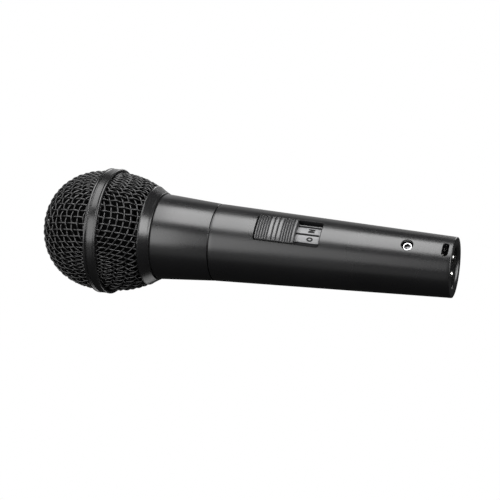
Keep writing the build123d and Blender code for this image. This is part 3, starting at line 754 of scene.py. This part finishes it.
def foam_skin(inward):
    """(station, radius) line of the foam's skin, moved inward: rear flare, squeeze at the hoop, dome."""
    low_station, _, hoop_reach = span("foam_windscreen")
    inset = 4 * WIRE_RADIUS + 0.35
    dome_reach, dome_length = DOME_RADIUS - inset, TIP - DOME_START - inset
    rear_reach, rear_length = REAR_RADIUS - inset, REAR_LENGTH - inset
    edge = BAND_END - 0.2
    places = []
    for k in range(30):
        station = low_station + (edge - low_station) * k / 30
        squeeze = max(0.0, min(1.0, (station - BAND_START + 2.7) / 2.5))
        depth = max(REAR_START - station, 0.0) / rear_length
        free = rear_reach * (1 - depth ** BOWL_POWER) ** (1 / BOWL_POWER)
        places.append((station, free * (1 - squeeze) + hoop_reach * squeeze - inward))
    for k in range(41):
        angle = pi / 2 * k / 40
        squeeze = max(0.0, 1 - 5 * sin(angle))
        rise = DOME_START + dome_length - edge - inward
        reach = dome_reach * (1 - squeeze) + hoop_reach * squeeze - inward
        radius = max(reach * max(cos(angle), 0.0) ** (2 / BOWL_POWER), 0.01)
        places.append((edge + rise * sin(angle) ** (2 / BOWL_POWER), radius))
    return places


def build_foam():
    """Foam liner: a domed sleeve pressed out against both meshes and in at the hoop, pitted by noise."""
    thickness = 2.6
    dome_from = 155
    outer = [circle(s, r, 160) for s, r in foam_skin(0.0)]
    inner = [circle(s, r, 160) for s, r in reversed(foam_skin(thickness))]
    points, faces = loft(outer + inner, closed=True)
    pitted = []
    for p in points:
        v = Vector(p)
        out = Vector((0, v.y, v.z)).normalized() * 0.8 + Vector((-0.3, 0, 0)) * (v.x < -dome_from)
        pitted.append(tuple(v + out * (noise.noise(v * 0.9) * 0.12 + noise.noise(v * 2.3) * 0.08 - 0.08)))
    piece = make_object("foam_liner", pitted, faces, [FOAM], 180)
    return stand_for(piece, "grille", "grey_foam", "foam_windscreen")


# ---- soft pieces round the cartridge

def soft_ring(name, body, slot, node, corners, softness, material):
    """Turned soft piece with well rounded corners, standing for a CAD node."""
    points, faces = lathe(rounded(corners, softness, 5), 128)
    return stand_for(make_object(name, points, faces, [material]), body, slot, node)


def build_shock_mount():
    """Rubber ring of H section with soft lips, between the neck's seat and the cartridge."""
    start, end, seat = span("shock_mount")
    hold = span("cartridge_housing")[2] + 0.02
    web_start, web_end = start + 4.0, start + 5.2
    corners = [
        (start, seat - 1.0), (start, seat), (end, seat), (end, seat - 1.0), (web_end, seat - 1.0),
        (web_end, hold + 1.0), (end - 1.0, hold + 1.0), (end - 1.0, hold), (start + 2.6, hold),
        (start + 2.6, hold + 1.0), (web_start, hold + 1.0), (web_start, seat - 1.0),
    ]
    soft_ring("rubber_shock_ring", "root", "black_rubber", "shock_mount", corners, 0.4, RUBBER)


def build_front_cloth():
    """Acoustic cloth behind the cartridge's cover, dished slightly and closed at its middle."""
    back, front, reach = span("front_cloth")
    rings = [(0.02, 0.0), (3.0, 0.01), (6.0, 0.03), (reach - 0.3, 0.05), (reach, 0.06)]
    behind = [(back + sag, r) for r, sag in rings]
    ahead = [(front - 0.06 + sag, r) for r, sag in reversed(rings)]
    points, faces = lathe(behind + ahead, 96)
    piece = make_object("acoustic_cloth", points, faces, [CLOTH])
    return stand_for(piece, "cartridge", "cloth", "front_cloth")


def build_felt():
    back, front, reach = span("felt_damper")
    bore = 8.0
    corners = [(back, bore), (back, reach), (front, reach), (front, bore)]
    soft_ring("felt_ring", "cartridge", "felt", "felt_damper", corners, 0.25, FELT)


def build_floating_lead(name, node, material):
    """Lead in its own material, kept whole in place of the CAD node, not split for the floating cartridge.
    """
    piece = bpy.data.objects.new(name, nodes[node].data.copy())
    bpy.context.scene.collection.objects.link(piece)
    piece.data.materials.clear()
    piece.data.materials.append(material)
    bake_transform(piece)
    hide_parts(node)
    return piece


# ---- switch

def curved_slab(half_width_at, low, tops, soft=0.12, columns=28, bend=None):
    """Solid over the switch plane whose top follows the handle's curve, or an arc of radius bend.

    tops lists (along, radius) places of the top's profile, half_width_at(along) gives the half-width,
    and soft is how far the long edges are rounded off."""
    loops = []
    for along, high in tops:
        half = half_width_at(along)
        top, bottom = [], []
        for c in range(columns + 1):
            across = half * sin(pi / 2 * (2 * c / columns - 1))
            edge = max(0.0, 1 - (half - abs(across)) / (soft * 1.5))
            drop = soft * (1 - sqrt(max(0.0, 1 - edge ** 2)))
            crest = arc_height(across, high)
            if bend:
                crest = high - SWITCH_RADIUS + sqrt(bend ** 2 - across ** 2) - bend
            top.append((along, across, crest - drop))
            bottom.append((along, across, arc_height(across, low)))
        loops.append(from_switch(bottom + list(reversed(top))))
    return loft(loops)


SLIDER_BACK = -13.2
SLIDER_LENGTH = 16.5
SLIDER_HALF_WIDTH = 5.85
SLIDER_BEND = 21.0
FINE_RIB, FINE_GROOVE = 0.3, 0.77
WIDE_RIB, WIDE_GROOVE = 1.27, 0.65
RIB_DEPTH = 0.55
RIB_CROWN = 0.1
SLIDER_TOP = SWITCH_RADIUS + 0.08
SLIDER_BOTTOM = 13.1


def rib_profile():
    """(along, radius) line over the slider's ribs: fine ones, three wide ones, fine ones and an end rib."""
    fine, wide = (FINE_RIB, FINE_GROOVE), (WIDE_RIB, WIDE_GROOVE)
    edge = SLIDER_BACK
    end = SLIDER_BACK + SLIDER_LENGTH
    line = [(edge, SLIDER_TOP - 0.14), (edge + 0.05, SLIDER_TOP - 0.05)]
    for width, groove in [fine] * 5 + [wide] * 3 + [fine] * 4:
        line.append((edge + RIB_CROWN, SLIDER_TOP))
        edge += width
        line += [(edge - RIB_CROWN, SLIDER_TOP), (edge, SLIDER_TOP - 0.08)]
        line.append((edge + groove / 2, SLIDER_TOP - RIB_DEPTH))
        edge += groove
        line.append((edge, SLIDER_TOP - 0.08))
    line += [(edge + 0.14, SLIDER_TOP), (end - 0.3, SLIDER_TOP), (end - 0.06, SLIDER_TOP - 0.12)]
    line.append((end, SLIDER_TOP - 0.35))
    return line


def build_slider():
    """Ribbed thumb slider with rounded corners in plan."""
    corner = 0.6

    def half_width(along):
        inset = min(along - SLIDER_BACK, SLIDER_BACK + SLIDER_LENGTH - along)
        short = corner - min(max(inset, 0.0), corner)
        return SLIDER_HALF_WIDTH - corner + sqrt(max(corner ** 2 - short ** 2, 0.0))

    points, faces = curved_slab(half_width, SLIDER_BOTTOM, rib_profile(), bend=SLIDER_BEND)
    piece = make_object("switch_thumb_slider", points, faces, [SLIDER], 38)
    return stand_for(piece, "slider", "black_plastic", "thumb_slider")


def tray_walls(half_length, half_width):
    """Thin rim round the pocket, rounded over its top."""
    steps = [
        (0.0, TRAY_BOTTOM), (0.0, TRAY_TOP - 0.1), (0.05, TRAY_TOP - 0.02), (0.1, TRAY_TOP),
        (TRAY_RIM - 0.1, TRAY_TOP), (TRAY_RIM - 0.04, TRAY_TOP - 0.05), (TRAY_RIM, TRAY_TOP - 0.14),
        (TRAY_RIM, TRAY_FLOOR - 0.08), (TRAY_RIM, TRAY_BOTTOM),
    ]
    loops = []
    for inset, radius in steps:
        outline = rounded_rectangle(half_length - inset, half_width - inset, WINDOW_CORNER - inset)
        loops.append(from_switch([(x, y, arc_height(y, radius)) for x, y in outline]))
    return loft(loops, closed=True)


def build_tray():
    """Tray in the window: a thin rim round a pocket, a curved floor and two rails."""
    half_length, half_width = WINDOW_HALF_LENGTH - 0.05, WINDOW_HALF_WIDTH - 0.05
    end = half_length - TRAY_RIM + 0.02
    side = half_width - TRAY_RIM + 0.02
    rail_bottom = TRAY_FLOOR - 0.05
    floor = curved_slab(lambda along: side, TRAY_BOTTOM, [(-end, TRAY_FLOOR), (end, TRAY_FLOOR)], 0.001)
    shaded_rail = strip(-end, end, -5.1, -4.25, rail_bottom, TRAY_FLOOR + 0.22, 0.06)
    lit_rail = strip(-end, end, 4.5, 4.95, rail_bottom, TRAY_FLOOR + 0.25, 0.06, level_top=True)
    body_points, body_faces = merge([tray_walls(half_length, half_width), floor, shaded_rail])
    points, faces = merge([(body_points, body_faces), lit_rail])
    # The rim, floor and shaded rail take the darker black of painted shade; the lit rail takes the slider's
    # lighter plastic, a painted lit copy.
    piece = make_object("switch_window_tray", points, faces, [TRAY_SHADE_BLACK, SLIDER], 35)
    for polygon in piece.data.polygons:
        polygon.material_index = 1 if min(polygon.vertices) >= len(body_points) else 0
    return stand_for(piece, "root", "black_plastic", "switch_tray")


def strip(start, end, near, far, low, high, soft, columns=10, level_top=False):
    """Narrow bar between two across positions, curved like the handle, with softened long edges."""
    loops = []
    for along in (start, end):
        top, bottom = [], []
        for c in range(columns + 1):
            across = near + (far - near) * c / columns
            inset = min(across - near, far - across)
            drop = soft * max(0.0, 1 - inset / soft) ** 2 if soft else 0.0
            crest = arc_height(near if level_top else across, high)
            top.append((along, across, crest - drop))
            bottom.append((along, across, arc_height(across, low)))
        loops.append(from_switch(bottom + list(reversed(top))))
    return loft(loops)


def build_label():
    """Silver label plate: two strips with the lever's slot between them, joined beyond its ends."""
    end = WINDOW_HALF_LENGTH - 0.5
    slot_end = WINDOW_HALF_LENGTH - 0.9
    slot, edge = 0.48, 3.6
    parts = [
        strip(-end, end, slot, edge, TRAY_FLOOR, LABEL_TOP, 0.05),
        strip(-end, end, -edge, -slot, TRAY_FLOOR, LABEL_TOP, 0.05),
        strip(slot_end, end, -slot, slot, TRAY_FLOOR, LABEL_TOP, 0.0),
    ]
    piece = make_object("switch_label_plate", *merge(parts), [LABEL], 35)
    return stand_for(piece, "root", "switch_label", "switch_plate")


def printed(outer, inner, across, thickness=0.035):
    """Thin raised ink inside a closed plan outline, and outside an inner one where it is given."""
    def loop(points, radius):
        return from_switch([
            (LEGEND_PLACE - v, across + u, arc_height(across + u, radius)) for u, v in points
        ])

    low, high = LABEL_TOP - 0.02, LABEL_TOP + thickness
    if inner:
        loops = [loop(outer, low), loop(outer, high), loop(inner, high), loop(inner, low)]
        return loft(loops, closed=True)
    return loft([loop(outer, low), loop(outer, high)])


def build_legend():
    """Plain ON legend, read with the grille upwards."""
    half_w, half_h, stroke, spacing = 1.0, 1.35, 0.66, 2.1
    slant = stroke * 1.25
    left = [(-half_w, -half_h), (-half_w + stroke, -half_h), (-half_w + stroke, half_h), (-half_w, half_h)]
    right = [(-u, v) for u, v in reversed(left)]
    diagonal = [(half_w - slant, -half_h), (half_w, -half_h), (-half_w + slant, half_h), (-half_w, half_h)]
    letter_o = oval(half_w, half_h, 40), oval(half_w - stroke, half_h - stroke, 40)
    parts = [printed(*letter_o, -spacing)]
    parts += [printed(outline, None, spacing) for outline in (left, diagonal, right)]
    piece = make_object("switch_legend", *merge(parts), [INK], 35)
    return stand_for(piece, "root", "switch_label")


# ---- connector

def hexagon(flats, count):
    """Hexagon of that half-width across its flats, drawn with count points."""
    outline = []
    for i in range(count):
        angle = TURN * i / count
        wedge = (angle + pi / 6) % (pi / 3) - pi / 6
        reach = flats / cos(wedge)
        outline.append((reach * cos(angle), reach * sin(angle)))
    return outline


def build_set_screw():
    """Set screw with a chamfered rim and a hex socket, standing in its hole."""
    low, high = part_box("xlr_retaining_screw")
    bottom, top = low.z / MM, high.z / MM
    radius = (high.y - low.y) / 2 / MM
    count, flats, socket_rim = 96, 1.2, 1.54
    round_steps = [
        (radius - 0.3, bottom), (radius, bottom + 0.3), (radius, top - 0.32), (radius - 0.06, top - 0.14),
        (radius - 0.3, top), (socket_rim, top),
    ]
    hex_steps = [
        (flats * 1.06, top - 0.12), (flats, top - 0.22), (flats, top - 1.5), (flats * 0.3, top - 1.75),
    ]
    outlines = [(oval(r, r, count), z) for r, z in round_steps]
    outlines += [(hexagon(r, count), z) for r, z in hex_steps]
    loops = [[(-SCREW_STATION + x, y, z) for x, y in outline] for outline, z in outlines]
    piece = make_object("set_screw", *loft(loops), [BRIGHT_STEEL, SOCKET_SHADE_STEEL], 30)
    # The socket's faces take the darker steel, painted shade in the hex recess.
    inside = (len(round_steps) + 1) * count
    for polygon in piece.data.polygons:
        polygon.material_index = 1 if min(polygon.vertices) >= inside else 0
    return stand_for(piece, "root", "steel", "xlr_retaining_screw")


def build_contact(number):
    """Contact with a rounded tip, a collar where the insert grips it and a hollow solder cup."""
    low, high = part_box(f"xlr_contact_{number}")
    y, z = (low.y + high.y) / 2 / MM, (low.z + high.z) / 2 / MM
    tip, tail = -high.x / MM, -low.x / MM
    radius, shank, tail_radius, cup = 1.2, 1.4, 1.0, 0.65
    grip_start, grip_end = 12.78, 22.0
    profile = []
    for k in range(1, 7):
        angle = pi / 2 * k / 6
        profile.append((tip + radius * 0.75 * (1 - cos(angle)), radius * sin(angle)))
    profile += [(grip_start, radius), (grip_start, shank), (grip_end, shank), (grip_end, tail_radius)]
    profile += [(tail - 0.1, tail_radius), (tail, tail_radius - 0.1)]
    profile += [(tail, cup + 0.05), (tail - 0.1, cup), (tail - 2.5, cup)]
    loops = [[(x, y + py, z + pz) for x, py, pz in circle(s, r, 48)] for s, r in profile]
    piece = make_object(f"contact_{number}", *loft(loops), [CONTACT], 35)
    return stand_for(piece, "root", "contact_silver", f"xlr_contact_{number}")


# ---- stage

def stage_material(name, camera_level, other_level):
    """Pale to the eye, as dark as a shaded studio floor in reflections, and clear from underneath."""
    material = bpy.data.materials.new(name)
    material.use_nodes = True
    tree = material.node_tree
    tree.nodes.clear()
    output = tree.nodes.new("ShaderNodeOutputMaterial")
    path = tree.nodes.new("ShaderNodeLightPath")
    side = tree.nodes.new("ShaderNodeNewGeometry")
    clear = tree.nodes.new("ShaderNodeBsdfTransparent")
    seen = set_inputs(tree.nodes.new("ShaderNodeEmission"), Strength=camera_level)
    reflected = set_inputs(tree.nodes.new("ShaderNodeEmission"), Strength=other_level)
    upper_face = tree.nodes.new("ShaderNodeMixShader")
    tree.links.new(path.outputs["Is Camera Ray"], upper_face.inputs["Fac"])
    tree.links.new(reflected.outputs["Emission"], upper_face.inputs[1])
    tree.links.new(seen.outputs["Emission"], upper_face.inputs[2])
    one_sided = tree.nodes.new("ShaderNodeMixShader")
    tree.links.new(side.outputs["Backfacing"], one_sided.inputs["Fac"])
    tree.links.new(upper_face.outputs["Shader"], one_sided.inputs[1])
    tree.links.new(clear.outputs["BSDF"], one_sided.inputs[2])
    tree.links.new(one_sided.outputs["Shader"], output.inputs["Surface"])
    return material


def build_floor():
    """Plain pale floor, well below the object."""
    size, drop = 4000.0, 720.0
    points = [(-size, -size, -drop), (size, -size, -drop), (size, size, -drop), (-size, size, -drop)]
    floor = make_object("floor", points, [(0, 1, 2, 3)], [stage_material("pale_floor", 1.0, 0.02)])


def build_world():
    """White to the camera, nearly dark to everything else, so that the softboxes do the lighting."""
    world = bpy.data.worlds.new("studio")
    bpy.context.scene.world = world
    world.use_nodes = True
    tree = world.node_tree
    background = set_inputs(tree.nodes["Background"], Color=(1, 1, 1, 1))
    path = tree.nodes.new("ShaderNodeLightPath")
    level = set_inputs(tree.nodes.new("ShaderNodeMapRange"), To_Min=0.03, To_Max=1.0)
    tree.links.new(path.outputs["Is Camera Ray"], level.inputs["Value"])
    tree.links.new(level.outputs["Result"], background.inputs["Strength"])


CAMERA_PLACE = Vector((113.6, -385.8, 582.8))
CAMERA_AZIMUTH = radians(-62.424)
CAMERA_ELEVATION = radians(53.4195)
CAMERA_ROLL = radians(-16.597)
CAMERA_LENS = 124.56


def camera_axes():
    """Camera's right, up and back directions."""
    level = cos(CAMERA_ELEVATION)
    back = Vector((level * cos(CAMERA_AZIMUTH), level * sin(CAMERA_AZIMUTH), sin(CAMERA_ELEVATION)))
    sideways = Vector((-sin(CAMERA_AZIMUTH), cos(CAMERA_AZIMUTH), 0))
    right = sideways * cos(CAMERA_ROLL) + back.cross(sideways) * sin(CAMERA_ROLL)
    return right, back.cross(right), back


def build_camera():
    data = bpy.data.cameras.new("camera")
    data.sensor_width = 36.0
    data.lens = CAMERA_LENS
    data.shift_y = 0.001
    data.clip_start = 0.01
    data.clip_end = 20.0
    camera = bpy.data.objects.new("camera", data)
    bpy.context.scene.collection.objects.link(camera)
    axes = Matrix(camera_axes()).transposed()
    camera.matrix_world = Matrix.Translation(CAMERA_PLACE * MM) @ axes.to_4x4()
    bpy.context.scene.camera = camera
    return camera


# Directions across the long axis: towards the camera, and up as the camera sees it.
FACING_TILT = radians(33.5)
FACING = Vector((0, -sin(FACING_TILT), cos(FACING_TILT)))
UPWARD = Vector((0, cos(FACING_TILT), sin(FACING_TILT)))
LIGHT_DISTANCE = 600.0


def panel(name, camera, place, back, across, width, height, radiance):
    """Rectangular light carried by the camera, so that every view is lit alike; it faces away from back."""
    data = bpy.data.lights.new(name, "AREA")
    data.shape = "RECTANGLE"
    data.size = width * MM
    data.size_y = height * MM
    data.energy = radiance * pi * data.size * data.size_y
    lamp = bpy.data.objects.new(name, data)
    bpy.context.scene.collection.objects.link(lamp)
    axes = Matrix((across, back.cross(across), back)).transposed()
    lamp.parent = camera
    lamp.matrix_parent_inverse = camera.matrix_world.inverted()
    lamp.matrix_basis = Matrix.Translation(place * MM) @ axes.to_4x4()
    lamp.visible_camera = False
    return lamp


def softbox(name, camera, low_angle, high_angle, start_x, end_x, radiance):
    """Light facing the long axis, between two angles about it and two places along it.

    Angles run from the camera's side upwards."""
    angle = radians(low_angle + high_angle) / 2
    back = FACING * cos(angle) + UPWARD * sin(angle)
    along = Vector((1, 0, 0))
    place = along * (start_x + end_x) / 2 + back * LIGHT_DISTANCE
    height = 2 * LIGHT_DISTANCE * tan(radians(high_angle - low_angle) / 2)
    return panel(name, camera, place, back, along, end_x - start_x, height, radiance)


# Lowest and highest angle about the long axis, first and last place along it, radiance
SOFTBOXES = {
    "key_softbox": (40, 91, -325, 30, 7.5),
    "key_end_softbox": (40, 91, -530, -325, 3.6),
    "front_panel": (-23, 21, -750, -230, 3.8),
    "front_tail_panel": (-16, 16, -230, -50, 1.6),
    "low_panel": (-50, -26, -450, 0, 0.35),
    "back_panel": (128, 178, -330, 50, 0.45),
    "back_head_panel": (128, 178, -520, -330, 0.7),
    "collar_panel": (0, 46, 300, 750, 9.0),
    "collar_back_panel": (134, 162, -30, 90, 6.0),
}
KICK_REACH = (-150, -118, -150, 60)


def build_lights(camera):
    """Softboxes along the object, and one panel beyond each end of it."""
    for name, reach in SOFTBOXES.items():
        softbox(name, camera, *reach)
    tail_place = Vector((620, 0, 0)) + FACING * 20 + UPWARD * 250
    panel("tail_panel", camera, tail_place, Vector((1, 0, 0)), UPWARD, 700, 300, 6.0)
    end_place = Vector((-850, 0, 0)) + FACING * 320 + UPWARD * 120
    panel("end_panel", camera, end_place, Vector((-1, 0, 0)), UPWARD, 600, 500, 3.0)


def light_from_below(camera, piece, radiance):
    """Kick light that picks out the underside of one piece and nothing else."""
    lamp = softbox(f"{piece.name}_kick", camera, *KICK_REACH, radiance)
    lit = bpy.data.collections.new(f"{piece.name}_lit")
    lit.objects.link(piece)
    lamp.light_linking.receiver_collection = lit


bpy.context.scene.view_settings.view_transform = "Standard"
build_world()
build_floor()
camera = build_camera()
build_lights(camera)
dress_cad_nodes()
build_handle()
build_ferrule()
build_gasket()
light_from_below(camera, build_collar(), 1.2)
light_from_below(camera, build_band(), 2.4)
build_front_mesh()
build_rear_mesh()
build_foam()
build_shock_mount()
build_front_cloth()
build_felt()
build_floating_lead("live_lead", "lead_switch_front", RED_LEAD)
build_floating_lead("return_lead", "lead_return", WHITE_LEAD)
build_slider()
build_tray()
build_label()
build_legend()
build_set_screw()
for contact_number in (1, 2, 3):
    build_contact(contact_number)
